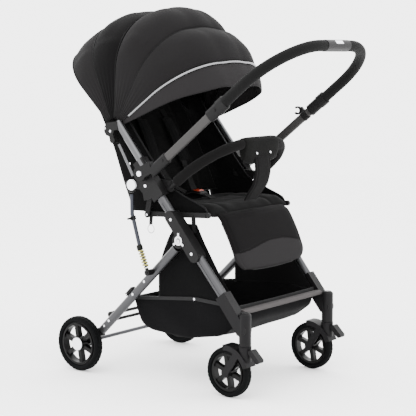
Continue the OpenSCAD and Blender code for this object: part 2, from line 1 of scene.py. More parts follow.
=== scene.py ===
import math
import bmesh
import bpy
import numpy as np
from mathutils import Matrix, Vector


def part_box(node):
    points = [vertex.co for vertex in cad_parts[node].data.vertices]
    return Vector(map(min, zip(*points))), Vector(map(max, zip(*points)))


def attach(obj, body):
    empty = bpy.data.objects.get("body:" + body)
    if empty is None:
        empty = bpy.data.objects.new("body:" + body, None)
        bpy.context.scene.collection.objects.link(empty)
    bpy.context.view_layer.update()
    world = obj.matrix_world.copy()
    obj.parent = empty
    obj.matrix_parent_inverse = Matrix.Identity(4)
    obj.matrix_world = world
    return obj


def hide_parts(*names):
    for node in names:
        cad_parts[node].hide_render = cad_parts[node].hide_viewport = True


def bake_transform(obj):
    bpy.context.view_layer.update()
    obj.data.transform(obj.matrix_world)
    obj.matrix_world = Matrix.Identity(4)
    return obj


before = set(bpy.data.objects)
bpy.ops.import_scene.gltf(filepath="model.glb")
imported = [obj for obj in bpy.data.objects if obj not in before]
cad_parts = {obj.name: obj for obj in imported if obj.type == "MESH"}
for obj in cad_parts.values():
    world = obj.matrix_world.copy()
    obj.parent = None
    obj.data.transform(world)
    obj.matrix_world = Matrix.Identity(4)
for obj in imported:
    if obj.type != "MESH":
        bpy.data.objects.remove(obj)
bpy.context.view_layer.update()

# ---------------------------------------------------------------------------
# Frame tubes: satin anodised aluminium legs and upper tubes, a darker warm grey
# on the push arms, riveted into moulded black joints. Colours are linear
# reflectance, kept far below real ones so that black stays black in a studio as
# bright as a white backdrop.
# ---------------------------------------------------------------------------
def material(name, color, rough=0.5, metal=0.0, mottle=0.0, mottle_size=40.0, bump=0.0, bump_size=900.0,
             sheen=0.0, coat=0.0, rough_vary=0.0, tint=None, spec=0.10):
    m = bpy.data.materials.new(name)
    m.use_nodes = True
    n, l = m.node_tree.nodes, m.node_tree.links
    p = n["Principled BSDF"]
    p.inputs["Specular IOR Level"].default_value = spec
    p.inputs["Base Color"].default_value = (*color, 1)
    p.inputs["Roughness"].default_value = rough
    p.inputs["Metallic"].default_value = metal
    if sheen:
        p.inputs["Sheen Weight"].default_value = sheen
        p.inputs["Sheen Roughness"].default_value = 0.5
    if coat:
        p.inputs["Coat Weight"].default_value = coat
    m.diffuse_color = (*color, 1)
    if not (mottle or bump or rough_vary):
        return m
    co = n.new("ShaderNodeTexCoord")
    if mottle or rough_vary:
        big = n.new("ShaderNodeTexNoise")
        big.inputs["Scale"].default_value = mottle_size
        big.inputs["Detail"].default_value = 4
        l.new(co.outputs["Object"], big.inputs["Vector"])
    if mottle:
        other = tint or [c * (1 + 2 * mottle) for c in color]
        mix = n.new("ShaderNodeMix")
        mix.data_type = "RGBA"
        mix.inputs[6].default_value = (*color, 1)
        mix.inputs[7].default_value = (*other, 1)
        l.new(big.outputs["Fac"], mix.inputs["Factor"])
        l.new(mix.outputs[2], p.inputs["Base Color"])
    if rough_vary:
        span = n.new("ShaderNodeMapRange")
        span.inputs["To Min"].default_value = rough - rough_vary
        span.inputs["To Max"].default_value = rough + rough_vary
        l.new(big.outputs["Fac"], span.inputs["Value"])
        l.new(span.outputs["Result"], p.inputs["Roughness"])
    if bump:
        fine = n.new("ShaderNodeTexNoise")
        fine.inputs["Scale"].default_value = bump_size
        fine.inputs["Detail"].default_value = 2
        b = n.new("ShaderNodeBump")
        b.inputs["Strength"].default_value = bump
        b.inputs["Distance"].default_value = 0.001
        l.new(co.outputs["Object"], fine.inputs["Vector"])
        l.new(fine.outputs["Fac"], b.inputs["Height"])
        l.new(b.outputs["Normal"], p.inputs["Normal"])
    return m


def dress(mat, *nodes):
    for name in nodes:
        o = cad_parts[name]
        o.data.materials.clear()
        o.data.materials.append(mat)


leg_metal = material("anodised grey", (0.043, 0.043, 0.045), 0.36, 0.85, mottle=0.06, mottle_size=9, bump=0.05,
                     bump_size=1500, rough_vary=0.05)
bright_metal = material("bright satin metal", (0.60, 0.60, 0.62), 0.22, 1.0, spec=0.5)
arm_metal = material("warm grey paint", (0.031, 0.030, 0.0295), 0.42, 0.55, mottle=0.05, mottle_size=12,
                     bump=0.04, bump_size=1500, rough_vary=0.05)
dress(leg_metal, "rear_legs", "front_legs")
upper_metal = material("brushed upper tube", (0.070, 0.070, 0.073), 0.3, 0.95, mottle=0.08,
                       mottle_size=14, rough_vary=0.06)
dress(upper_metal, "upper_tubes")
dress(arm_metal, "arm_tubes")
dress(bright_metal, "leg_rivets", "fold_pivots")

# ---------------------------------------------------------------------------
# Moulded joints: fold covers, upper housings, collars, clamps, casters and
# hinges are all glass-filled black plastic with a fine spark-eroded grain.
# ---------------------------------------------------------------------------
black_plastic = material("moulded black", (0.0028, 0.0027, 0.0028), 0.48, 0.0, mottle=0.12, mottle_size=25,
                         bump=0.10, bump_size=1400, rough_vary=0.06)
caster_plastic = material("caster black", (0.0018, 0.0016, 0.0019), 0.5, 0.0, mottle=0.10, mottle_size=20,
                          bump=0.10, bump_size=1400, rough_vary=0.06)
clamp_plastic = material("clamp black", (0.0025, 0.0024, 0.0025), 0.45, 0.0, mottle=0.1, bump=0.1,
                         bump_size=1400)
dress(black_plastic, "fold_covers", "frame_housings", "hood_hinges", "seat_rails", "rear_leg_ends",
      "storage_clip", "strut_seats", "strut_pegs", "brake_bar", "bag_hook", "hood_bow_2", "hood_bow_3",
      "hood_bow_4", "hood_bow_5", "bumper_bar")
dress(caster_plastic, "columns", "fork_right", "fork_left", "lock_pedal_right", "lock_pedal_left")
dress(clamp_plastic, "arm_fittings")
white_plastic = material("white button plastic", (0.79, 0.79, 0.83), 0.3, 0.0, coat=0.2, spec=0.5)
dress(white_plastic, "latch_discs", "fold_button", "rear_cap_right", "rear_cap_left")
control_plastic = material("grey control plastic", (0.006, 0.0055, 0.006), 0.45, 0.0, mottle=0.06, bump=0.06)
dress(control_plastic, "grip_control")
dress(material("front bar sleeve", (0.030, 0.0275, 0.0275), 0.75, 0.0, mottle=0.1, bump=0.2, bump_size=900),
      "front_cross_bar")
dress(material("axle steel", (0.0428, 0.0428, 0.0466), 0.3, 1.0), "rear_axle")
dress(material("strut grey", (0.0266, 0.028, 0.0341), 0.35, 0.7, rough_vary=0.05), "strut_tubes")
dress(bright_metal, "strap_ring")

# ---------------------------------------------------------------------------
# Foam grip: closed-cell black foam slid over the bent push tube, matt with a
# faint open skin.
# ---------------------------------------------------------------------------
foam = material("grip foam", (0.0014, 0.0014, 0.0014), 0.88, 0.0, mottle=0.18, mottle_size=60, bump=0.5,
                bump_size=700, sheen=0.01)
dress(foam, "grip")

# ---------------------------------------------------------------------------
# Wheels: moulded spoked rims with a thick foam-filled tyre. The tyre is turned
# from its section with a shallow centre band and cross grooves on each shoulder.
# ---------------------------------------------------------------------------
def make(name, verts, faces, mat, smooth=True):
    me = bpy.data.meshes.new(name)
    me.from_pydata([tuple(map(float, v)) for v in verts], [], [tuple(map(int, f)) for f in faces])
    me.validate()
    me.update()
    o = bpy.data.objects.new(name, me)
    bpy.context.scene.collection.objects.link(o)
    for one in (mat if isinstance(mat, (list, tuple)) else [mat]):
        me.materials.append(one)
    if smooth:
        me.polygons.foreach_set("use_smooth", [True] * len(me.polygons))
    return o


def lathe_y(centre, profile, steps, wobble=None):
    """A closed profile of (radius, y) pairs turned about the line along Y through the centre."""
    verts, faces = [], []
    k = len(profile)
    for i in range(steps):
        a = 2 * math.pi * i / steps
        for j, (r, y) in enumerate(profile):
            if wobble:
                r = r + wobble(i, j)
            verts.append((centre[0] + r * math.cos(a), centre[1] + y, centre[2] + r * math.sin(a)))
    for i in range(steps):
        n = (i + 1) % steps
        for j in range(k):
            m = (j + 1) % k
            faces.append((i * k + j, i * k + m, n * k + m, n * k + j))
    return verts, faces


rim_black = material("rim black", (0.0006, 0.0006, 0.0006), 0.42, 0.0, mottle=0.1, bump=0.05)
tyre_black = material("tyre rubber", (0.0007, 0.0008, 0.0009), 0.74, 0.0, spec=0.05, mottle=0.14,
                      mottle_size=50, bump=0.25, bump_size=1100)
dress(rim_black, "rear_rim_right", "rear_rim_left", "front_rim_right", "front_rim_left")
for end, side in (("right", -1), ("left", 1)):
    for which, body in (("rear", "rear_wheel_"), ("front", "front_wheel_")):
        node = f"{which}_tyre_{end}"
        lo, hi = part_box(node)
        c = (lo + hi) / 2
        r, w = (hi.z - lo.z) / 2, (hi.y - lo.y) / 2
        bore = r - (0.019 if which == "rear" else 0.017)
        prof = [(bore, -w * 0.55), (bore + 0.002, -w * 0.80), (r - 0.010, -w), (r - 0.004, -w * 0.88),
                (r - 0.0012, -w * 0.62), (r - 0.0003, -w * 0.34), (r - 0.0014, -w * 0.30), (r - 0.0014, -w * 0.18),
                (r, -w * 0.14), (r, w * 0.14), (r - 0.0014, w * 0.18), (r - 0.0014, w * 0.30),
                (r - 0.0003, w * 0.34), (r - 0.0012, w * 0.62), (r - 0.004, w * 0.88), (r - 0.010, w),
                (bore + 0.002, w * 0.80), (bore, w * 0.55)]
        groove = {3, 4, 13, 14}
        verts, faces = lathe_y(c, prof, 216, lambda i, j: -0.0011 if (j in groove and i % 6 < 2) else 0.0)
        faces = [f[::-1] for f in faces]
        o = make(f"tyre_{which}_{end}", verts, faces, tyre_black)
        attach(o, body + end)
        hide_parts(node)

# ---------------------------------------------------------------------------
# Struts: an open coil of olive spring steel works between the seat on the rear
# leg and the collar of the bent tube above it.
# ---------------------------------------------------------------------------
def sweep(path, radius, sides=12, closed=False):
    """A round tube along a list of points, capped at both ends unless it closes on itself."""
    pts = np.array(path, float)
    n = len(pts)
    verts, faces = [], []
    prev = None
    for i in range(n):
        if closed:
            t = pts[(i + 1) % n] - pts[i - 1]
        else:
            t = pts[min(i + 1, n - 1)] - pts[max(i - 1, 0)]
        t = t / (np.linalg.norm(t) + 1e-12)
        if prev is None:
            a = np.array([0, 0, 1.0]) if abs(t[2]) < 0.9 else np.array([1.0, 0, 0])
            prev = np.cross(t, a)
        prev = prev - t * (prev @ t)
        prev = prev / np.linalg.norm(prev)
        other = np.cross(t, prev)
        rr = radius[i] if hasattr(radius, "__len__") else radius
        for k in range(sides):
            a = 2 * math.pi * k / sides
            verts.append(pts[i] + rr * (math.cos(a) * prev + math.sin(a) * other))
    for i in range(n if closed else n - 1):
        m = (i + 1) % n
        for k in range(sides):
            q = (k + 1) % sides
            faces.append((i * sides + k, i * sides + q, m * sides + q, m * sides + k))
    if not closed:
        faces.append(tuple(range(sides))[::-1])
        faces.append(tuple(range((n - 1) * sides, n * sides)))
    return verts, faces


spring_paint = material("olive spring paint", (0.22, 0.195, 0.035), 0.42, 0.1, rough_vary=0.08, spec=0.5)
collar_green = material("dark green collar", (0.0016, 0.0023, 0.0011), 0.5)
strut_parts, strut_faces = [], []
for side in (-1, 1):
    foot = np.array([-0.0527, side * 0.258, 0.3616])
    top = np.array([-0.075, side * 0.258, 0.414])
    d = top - foot
    length = np.linalg.norm(d)
    d = d / length
    u = np.cross(d, [0, 1, 0])
    v = np.array([0, 1.0, 0])
    turns = 6.0
    path = []
    for i in range(int(turns * 26) + 1):
        a = 2 * math.pi * i / 26
        along = 0.001 + (length - 0.003) * i / (turns * 26)
        path.append(foot + d * along + 0.0072 * (math.cos(a) * u + math.sin(a) * v))
    ve, fa = sweep(path, 0.0023, 10)
    off = len(strut_parts)
    strut_parts += ve
    strut_faces += [tuple(x + off for x in f) for f in fa]
coil = make("strut_coils", strut_parts, strut_faces, spring_paint)
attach(coil, "struts")
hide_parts("strut_springs")

# ---------------------------------------------------------------------------
# Hood: woven dark cloth stretched over five flat bows that share one hinge on
# each side. Each panel is one curved sheet that billows between its bows and is
# gathered at the hinge. The panels meet in piped seams.
# ---------------------------------------------------------------------------
hub = np.array([-0.205, 0.0, 0.772])
hub_gap, corner = 0.034, 0.168      # where the cloth leaves the hinge, and the arch's corner radius
rows_s = 84                         # points along each arch


def cloth(name, color, other, rough=0.9, bump=0.35, weave=520.0):
    m = material(name, color, rough, 0.0, mottle=0.5, mottle_size=7, bump=0, sheen=0.02, tint=other, spec=0.03)
    n, l = m.node_tree.nodes, m.node_tree.links
    p = n["Principled BSDF"]
    co = n.new("ShaderNodeTexCoord")
    hi = n.new("ShaderNodeTexNoise")
    hi.inputs["Scale"].default_value = weave
    hi.inputs["Detail"].default_value = 3
    hi.inputs["Roughness"].default_value = 0.7
    soft = n.new("ShaderNodeTexNoise")
    soft.inputs["Scale"].default_value = 16
    soft.inputs["Detail"].default_value = 3
    add = n.new("ShaderNodeMath")
    add.operation = "MULTIPLY_ADD"
    add.inputs[1].default_value = 6.0
    b = n.new("ShaderNodeBump")
    b.inputs["Strength"].default_value = bump
    b.inputs["Distance"].default_value = 0.0008
    l.new(co.outputs["Object"], hi.inputs["Vector"])
    l.new(co.outputs["Object"], soft.inputs["Vector"])
    l.new(soft.outputs["Fac"], add.inputs[0])
    l.new(hi.outputs["Fac"], add.inputs[2])
    l.new(add.outputs["Value"], b.inputs["Height"])
    l.new(b.outputs["Normal"], p.inputs["Normal"])
    return m


hood_cloth = cloth("hood cloth", (0.0072, 0.0068, 0.0070), (0.0052, 0.0048, 0.0050))
hood_dark = cloth("hood cloth dark", (0.0024, 0.0022, 0.0023), (0.0016, 0.0015, 0.0016))
piping = material("seam piping", (0.0008, 0.0008, 0.0008), 0.7, 0.0, bump=0.3, bump_size=1200, sheen=0.01)


def arch(r, w, rc, n=rows_s, crown=0.006):
    """Points (radius, y) of the hood's arch from the right hinge, over the crown, to the left hinge."""
    side = r - rc - hub_gap
    arc = rc * math.pi / 2
    flat = 2 * (w - rc)
    total = 2 * side + 2 * arc + flat
    out = []
    for i in range(n):
        d = total * i / (n - 1)
        if d < side:
            out.append((hub_gap + d, -w))
        elif d < side + arc:
            a = (d - side) / rc
            out.append((r - rc + rc * math.sin(a), -(w - rc) - rc * math.cos(a)))
        elif d < side + arc + flat:
            y = -(w - rc) + d - side - arc
            out.append((r + crown * (1 - (y / (w - rc)) ** 2), y))
        elif d < side + 2 * arc + flat:
            a = (d - side - arc - flat) / rc
            out.append((r - rc + rc * math.cos(a), (w - rc) + rc * math.sin(a)))
        else:
            out.append((hub_gap + total - d, w))
    return out


def fan_point(r, y, deg):
    a = math.radians(deg)
    return (hub[0] + r * math.cos(a), y, hub[2] + r * math.sin(a))


def fold_weight(o, centre):
    """Works out each point's angle about the hinge line through centre, and does nothing more with it."""
    co = np.array([v.co for v in o.data.vertices], float)
    ang = np.degrees(np.arctan2(co[:, 2] - centre[2], co[:, 0] - centre[0]))
    ang = np.where(ang < -180 + 1e-6, ang + 360, ang)


def thicken(o, t):
    mod = o.modifiers.new("thickness", "SOLIDIFY")
    mod.thickness = t
    mod.offset = -1
    mod.use_rim = True
    bake(o)


def bake(o):
    """Turns the live modifiers into plain mesh."""
    dg = bpy.context.evaluated_depsgraph_get()
    me = bpy.data.meshes.new_from_object(o.evaluated_get(dg))
    o.modifiers.clear()
    old = o.data
    o.data = me
    bpy.data.meshes.remove(old)
    me.name = o.name


def flat_area(grid):
    g = np.array(grid)
    du, dv = np.diff(g, axis=0)[:, :-1], np.diff(g, axis=1)[:-1]
    return float(np.linalg.norm(np.cross(du, dv), axis=2).sum())


def grid_faces(nr, nc, flip=False):
    f = []
    for i in range(nr - 1):
        for j in range(nc - 1):
            q = (i * nc + j, i * nc + j + 1, (i + 1) * nc + j + 1, (i + 1) * nc + j)
            f.append(q[::-1] if flip else q)
    return f


def cloth_piece(name, grid, mat, thick, flip=False):
    """A sheet over a grid of points, given its thickness. Also returns the area of the grid."""
    o = make(name, [p for row in grid for p in row], grid_faces(len(grid), len(grid[0]), flip), mat)
    thicken(o, thick)
    return o, flat_area(grid)


# the angles of the five bows about the hinge, from the rear one to the front one
bows = [136.0, 113.0, 87.0, 61.0, 36.0]
panel_cols = 26
for k in range(4):
    a_back, a_front = bows[k], bows[k + 1]
    billow = [0.006, 0.015, 0.034, 0.021][k]
    grid = []
    for i in range(panel_cols):
        t = i / (panel_cols - 1)
        deg = a_back + (a_front - a_back) * t
        puff = math.sin(math.pi * t) ** 0.72
        r0 = 0.3482
        prof = arch(r0 + billow * puff, 0.2262, corner + 0.4 * billow * puff)
        row = []
        for j, (r, y) in enumerate(prof):
            s = j / (rows_s - 1)
            near = min(1.0, max(0.0, (r - hub_gap) / 0.14))
            y2 = y + math.copysign(0.0052 * puff * near, y) if abs(y) > 0.2 else y
            # shallow gathers that run out of the hinge and die away towards the crown
            near_hub = math.exp(-((r - 0.07) / 0.09) ** 2) * min(1, (r - 0.03) / 0.03)
            g = math.sin(t * math.pi * 5 + k) * 0.0022 * near_hub
            y2 += math.copysign(g, y) if abs(y) > 0.15 else 0
            # soft pulls along the cloth between the bows
            r2 = r + 0.0016 * puff * math.sin(9 * s * math.pi + 2.1 * k) * math.sin(3 * math.pi * t + s * 6)
            row.append(fan_point(r2, y2, deg))
        grid.append(row)
    o, area = cloth_piece(f"hood_panel_cloth_{k + 1}", grid, hood_dark if k == 1 else hood_cloth, 0.0014)
    long_way = float(np.linalg.norm(np.diff(np.array(grid[panel_cols // 2]), axis=0), axis=1).sum())
    wide = area / long_way * 1.25
    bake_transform(o)
    fold_weight(o, hub)
    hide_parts(f"hood_panel_{k + 1}")

# piped seams: a thin cord sewn into each seam, doubled on the second seam
seam_bodies = ["front_frame", "hood_rib_2", "hood_rib_3", "hood_rib_4"]
for k, (deg, body) in enumerate(zip(bows, seam_bodies)):
    parts, pf = [], []
    for shift in ((-1.1, 1.1) if k == 2 else (0.0,)):
        path = [fan_point(r + 0.0012, y + math.copysign(0.0008, y) if abs(y) > 0.15 else y, deg + shift)
                for r, y in arch(0.3487, 0.2266, corner, 120)]
        ve, fa = sweep(path, 0.0021 if k else 0.0026, 8)
        pf += [tuple(x + len(parts) for x in f) for f in fa]
        parts += ve
    o = make(f"hood_piping_{k + 1}", parts, pf, piping)
    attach(o, body)

# front edge: a bright satin trim strip bent over the front bow, with the visor
# sewn behind it
trim_path = [fan_point(r + 0.0035, y + math.copysign(0.0016, y) if abs(y) > 0.15 else y, 35.3)
             for r, y in arch(0.3492, 0.2268, corner, 160, crown=0.006)]
trim_metal = material("bright trim", (0.17, 0.17, 0.175), 0.28, 0.9, rough_vary=0.05, spec=0.5)
ve, fa = sweep(trim_path[6:-6], 0.0036, 12)
o = make("hood_front_trim", ve, fa, trim_metal)
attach(o, "hood_rib_5")

vis_cols = 12
grid = []
for i in range(vis_cols):
    t = i / (vis_cols - 1)
    deg = 34.8 - 12.2 * t
    row = []
    reach_at = 0.3490 - 0.010 * t + 0.004 * math.sin(math.pi * t)
    for j, (r, y) in enumerate(arch(reach_at, 0.2266, corner, crown=0.006)):
        s = j / (rows_s - 1)
        mid = math.exp(-((s - 0.5) / 0.23) ** 2)
        reach = 0.002 * t * mid
        a = math.radians(deg)
        lift = 0.0035 * t * math.sin(11 * s * math.pi) * mid
        row.append((hub[0] + (r + reach) * math.cos(a) + lift, y, hub[2] + (r + reach) * math.sin(a) + lift))
    grid.append(row)
# the visor's cloth is painted lighter than the hood cloth, a painted highlight that makes up for the shade it gets
# from facing down and forward
visor_painted_light_cloth = cloth("visor cloth painted lighter", (0.0120, 0.0112, 0.0116), (0.0088, 0.0082, 0.0085))
o, area = cloth_piece("hood_visor_cloth", grid, visor_painted_light_cloth, 0.0016)
long_way = float(np.linalg.norm(np.diff(np.array(grid[vis_cols // 2]), axis=0), axis=1).sum())
wide = area / long_way * 1.3
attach(o, "hood_rib_5")
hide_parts("hood_visor")
edge = sweep([(p[0], p[1], p[2]) for p in grid[-1][5:-5]], 0.0016, 8)
o = make("hood_visor_hem", *edge, piping)
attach(o, "hood_rib_5")

# ---------------------------------------------------------------------------
# Seat and backrest: quilted pads of black polyester over wadding, held on the
# sling and the back frame. Side bolsters rise a little above the middle.
# ---------------------------------------------------------------------------
def spot(x, y, z):
    """Millimetres from the middle of the wheelbase, as a point of the frame in metres."""
    return np.array([x / 1000 - 0.050, y / 1000, z / 1000])


def face_out(o):
    """Turns every face of a closed mesh outwards."""
    b = bmesh.new()
    b.from_mesh(o.data)
    bmesh.ops.recalc_face_normals(b, faces=b.faces)
    b.to_mesh(o.data)
    b.free()


def pillow(name, nu, nv, place, top, bottom, mat, sharp=7, rim=0.4):
    """A closed pad over a, b from -1 to 1. top and bottom give its heights, which die away at the rim."""
    def fall(t):
        return max(0.0, 1 - abs(t) ** sharp) ** rim
    def steps(n):
        return [0.55 * t + 0.45 * math.sin(t * math.pi / 2) for t in (-1 + 2 * i / (n - 1) for i in range(n))]
    aa, bb = steps(nu), steps(nv)
    verts, index = [], {}
    for side in (0, 1):
        for i, a in enumerate(aa):
            for j, b in enumerate(bb):
                on_rim = i in (0, nu - 1) or j in (0, nv - 1)
                if side and on_rim:
                    index[1, i, j] = index[0, i, j]
                    continue
                h = (bottom(a, b) if side else top(a, b)) * fall(a) * fall(b)
                index[side, i, j] = len(verts)
                verts.append(place(a, b, -h if side else h))
    faces = []
    for i in range(nu - 1):
        for j in range(nv - 1):
            for side in (0, 1):
                q = [index[side, i + di, j + dj] for di, dj in ((0, 0), (1, 0), (1, 1), (0, 1))]
                faces.append(q[::-1] if side else q)
    o = make(name, verts, faces, mat)
    face_out(o)
    return o


def dent(t, width):
    return math.exp(-(t / width) ** 2)


pad_cloth = cloth("seat cloth", (0.0018, 0.0018, 0.0018), (0.0012, 0.0012, 0.0012), bump=0.4, weave=620.0)
wing_cloth = cloth("side cloth", (0.001, 0.001, 0.001), (0.0006, 0.0006, 0.0007), bump=0.35)


def seat_place(a, b, h):
    droop = 16 * max(0.0, (a - 0.72) / 0.28) ** 2
    return spot(57 + 144 * a, 197 * b, 533 + 6.8 * a - droop) + np.array([-0.05 * h, 0, h])


def seat_top(a, b):
    h = 0.014 + 0.010 * min(1, abs(b) ** 3 * 1.6) + 0.004 * math.cos(a * 2.2)
    h -= 0.005 * dent(abs(b) - 0.60, 0.035) + 0.0035 * dent(a + 0.25, 0.04) + 0.0035 * dent(a - 0.38, 0.04)
    return h + 0.0009 * math.sin(19 * b + 5 * a) * math.sin(9 * a)


seat = pillow("seat_cushion", 56, 64, seat_place, seat_top, lambda a, b: 0.013, pad_cloth)
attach(seat, "front_frame")
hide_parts("seat_pad")

lean = math.radians(117)
back_up = np.array([math.cos(lean), 0, math.sin(lean)])
back_out = np.array([math.sin(lean), 0, -math.cos(lean)])


def back_place(a, b, h):
    s = 0.166 + 0.166 * a
    half = 0.190 - 0.020 * max(0, a) ** 3
    curl = 0.018 * abs(b) ** 4
    return spot(-96, 0, 556) + back_up * s + back_out * (h + curl) + np.array([0, half * b, 0])


def back_front(a, b):
    h = 0.013 + 0.007 * (1 - b * b)
    for seam in (-0.45, 0.12, 0.66):
        h -= 0.004 * dent(a - seam, 0.035) * (1 - b ** 6)
    h -= 0.004 * dent(abs(b) - 0.66, 0.04)
    return h + 0.001 * math.sin(17 * b + 3) * math.sin(11 * a + 1)


def back_rear(a, b):
    return 0.024 + 0.010 * dent(a + 0.1, 0.5) + 0.002 * math.sin(7 * a + 4 * b)


back = pillow("backrest_cushion", 64, 60, back_place, back_front, back_rear, pad_cloth, sharp=9)
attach(back, "backrest")
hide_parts("backrest_pad")


def tube_piece(name, path, radius, mat, body, sides=8, closed=False):
    o = make(name, *sweep(path, radius, sides, closed), mat)
    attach(o, body)
    return o


edge_bind = material("edge binding", (0.0019, 0.0019, 0.002), 0.7, 0.0, bump=0.3, bump_size=1200, sheen=0.01)


def rim_point(place, t, reach=1.25):
    """The point at angle t on the rim of a pad, run round its square corners."""
    return place(max(-1, min(1, reach * math.cos(t))), max(-1, min(1, reach * math.sin(t))), 0.0)


# the seat's piping stops short of its front edge, where the footrest lifts past
loop = [rim_point(seat_place, t) for t in np.linspace(0.76, 2 * math.pi - 0.76, 140)]
tube_piece("seat_piping", loop, 0.0026, edge_bind, "front_frame")
loop = [rim_point(back_place, t) for t in np.linspace(0, 2 * math.pi, 160, endpoint=False)]
tube_piece("backrest_piping", loop, 0.0026, edge_bind, "backrest", closed=True)

# ---------------------------------------------------------------------------
# Side wings: a panel of the same cloth on each side closes the gap between the
# seat, the backrest and the upper tube. A bound edge runs down its front.
# ---------------------------------------------------------------------------
def along_line(points, t):
    """The point at share t of a broken line's length."""
    p = np.array(points, float)
    seg = np.linalg.norm(np.diff(p, axis=0), axis=1)
    run = np.concatenate([[0], np.cumsum(seg)]) / seg.sum()
    return np.array([np.interp(t, run, p[:, k]) for k in range(p.shape[1])])


def soft_line(points, t, spread=0.06):
    """The same, with its corners rounded off."""
    ts = [min(1, max(0, t + spread * k)) for k in (-1, -0.5, 0, 0.5, 1)]
    return sum(w * along_line(points, q) for w, q in zip((0.1, 0.22, 0.36, 0.22, 0.1), ts))


for end, side in (("right", -1), ("left", 1)):
    grid = []
    for i in range(34):
        t = i / 33
        lo = soft_line([(-100, 518), (-140, 610), (-180, 715), (-225, 800), (-262, 868)], t)
        hi = soft_line([(192, 524), (186, 548), (96, 582), (44, 606), (-30, 690), (-118, 800), (-156, 862)],
                       t, 0.03)
        row = []
        for j in range(22):
            u = j / 21
            x, z = lo + (hi - lo) * u
            across = math.sin(math.pi * u)
            bulge = 7 * math.sin(math.pi * t) * across + 1.4 * math.sin(9 * t + 6 * u) * across
            row.append(spot(x, side * (201 + bulge), z))
        grid.append(row)
    o, area = cloth_piece("side_wing_" + end, grid, wing_cloth, 0.0024, side > 0)
    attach(o, "front_frame")
    if side < 0:
        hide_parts("side_wings")
    tube_piece("side_wing_binding_" + end, [r[-1] for r in grid], 0.0026, edge_bind, "front_frame")

grid = []
for i in range(16):
    t = i / 15
    x, z = soft_line([(-70, 536), (-100, 528), (-112, 560), (-118, 600)], t, 0.12)
    grid.append([spot(x + 2 * math.sin(9 * b), b * 190, z) for b in np.linspace(-1, 1, 40)])
o, area = cloth_piece("seat_back_gusset", grid, pad_cloth, 0.0020)
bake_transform(o)

# ---------------------------------------------------------------------------
# Rear curtain: one cloth hangs inside the rear bow and closes the hood down to
# the top of the backrest.
# ---------------------------------------------------------------------------
grid = []
top_line = arch(0.3405, 0.2150, 0.160, 60)
for i in range(18):
    t = i / 17
    row = []
    for j, (r, y) in enumerate(top_line):
        low_y = y * 0.86
        low_r = 0.098
        rr = r + (low_r - r) * t
        yy = y + (low_y - y) * t
        sag = 2.2 * math.sin(math.pi * t) * (1 - (y / 0.23) ** 2)
        row.append(fan_point(rr, yy, 136.4 + sag))
    grid.append(row)
o, area = cloth_piece("rear_curtain", grid, wing_cloth, 0.0012)
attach(o, "front_frame")

# ---------------------------------------------------------------------------
# Harness: two padded shoulder straps come out of the backrest and run to a
# moulded buckle with a red button, with a lap strap on each side and a crotch
# strap below.
# ---------------------------------------------------------------------------
def ribbon(path, across, width, thick):
    """Flat webbing along a path, with its width along the given directions."""
    verts, faces = [], []
    n = len(path)
    for i in range(n):
        t = path[min(i + 1, n - 1)] - path[max(i - 1, 0)]
        t = t / np.linalg.norm(t)
        a = np.array(across[i] if hasattr(across[0], "__len__") else across, float)
        a = a - t * (a @ t)
        a = a / np.linalg.norm(a)
        up = np.cross(t, a)
        for su, sv in ((-1, -1), (1, -1), (1, 1), (-1, 1)):
            verts.append(path[i] + a * su * width / 2 + up * sv * thick / 2)
    for i in range(n - 1):
        for k in range(4):
            q = (k + 1) % 4
            faces.append((i * 4 + k, i * 4 + q, i * 4 + 4 + q, i * 4 + 4 + k))
    faces += [(3, 2, 1, 0), (4 * n - 4, 4 * n - 3, 4 * n - 2, 4 * n - 1)]
    return verts, faces


webbing = material("webbing", (0.0013, 0.0013, 0.0013), 0.75, 0.0, bump=0.4, bump_size=1600, sheen=0.01)


def strap(name, path, across, width, thick=0.0018):
    o = make(name, *ribbon(path, across, width, thick), webbing, smooth=False)
    return o


strap_cloth = cloth("strap pad cloth", (0.0027, 0.0027, 0.0028), (0.002, 0.002, 0.0021), bump=0.3)
for end, side in (("right", -1), ("left", 1)):
    def strap_place(a, b, h, side=side):
        s = 0.178 + 0.078 * a
        return (spot(-96, side * 66, 556) + back_up * s + back_out * (0.026 + h + 0.004 * (1 - a * a))
                + np.array([0, 0.024 * b - side * 0.004 * a, 0]))
    o = pillow("shoulder_pad_" + end, 30, 18, strap_place,
               lambda a, b: 0.007 - 0.002 * dent(abs(b) - 0.7, 0.12), lambda a, b: 0.004, strap_cloth, sharp=5)
    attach(o, "backrest")
    if side < 0:
        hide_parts("harness")
    knots = [spot(-96, side * 68, 556) + back_up * 0.30 + back_out * 0.016,
             spot(-96, side * 67, 556) + back_up * 0.26 + back_out * 0.026,
             spot(-96, side * 65, 556) + back_up * 0.10 + back_out * 0.028,
             spot(-70, side * 48, 590), spot(-40, side * 26, 570), spot(-26, side * 16, 565)]
    path = [soft_line(knots, t, 0.05) for t in np.linspace(0, 1, 40)]
    o = strap("shoulder_webbing_" + end, path, (0, 1, 0), 0.024)
    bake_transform(o)
    path = [soft_line([spot(-84, side * 188, 560), spot(-60, side * 120, 566), spot(-30, side * 50, 566),
                       spot(-20, side * 24, 564)], t, 0.06) for t in np.linspace(0, 1, 24)]
    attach(strap("lap_webbing_" + end, path, (1, 0, 0.2), 0.024), "front_frame")
path = [soft_line([spot(58, 0, 552), spot(40, 0, 560), spot(18, 0, 564), spot(4, 0, 564)], t, 0.06)
        for t in np.linspace(0, 1, 16)]
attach(strap("crotch_webbing", path, (0, 1, 0), 0.030), "front_frame")
buckle_black = material("buckle shell", (0.0011, 0.0009, 0.0009), 0.4)
buckle_red = material("buckle button", (0.20, 0.018, 0.005), 0.32, spec=0.5)


def shell_place(a, b, h):
    return spot(-8, 0, 566) + np.array([0.028 * a, 0.026 * b * (1 - 0.18 * a), h - 0.05 * 0.028 * a])


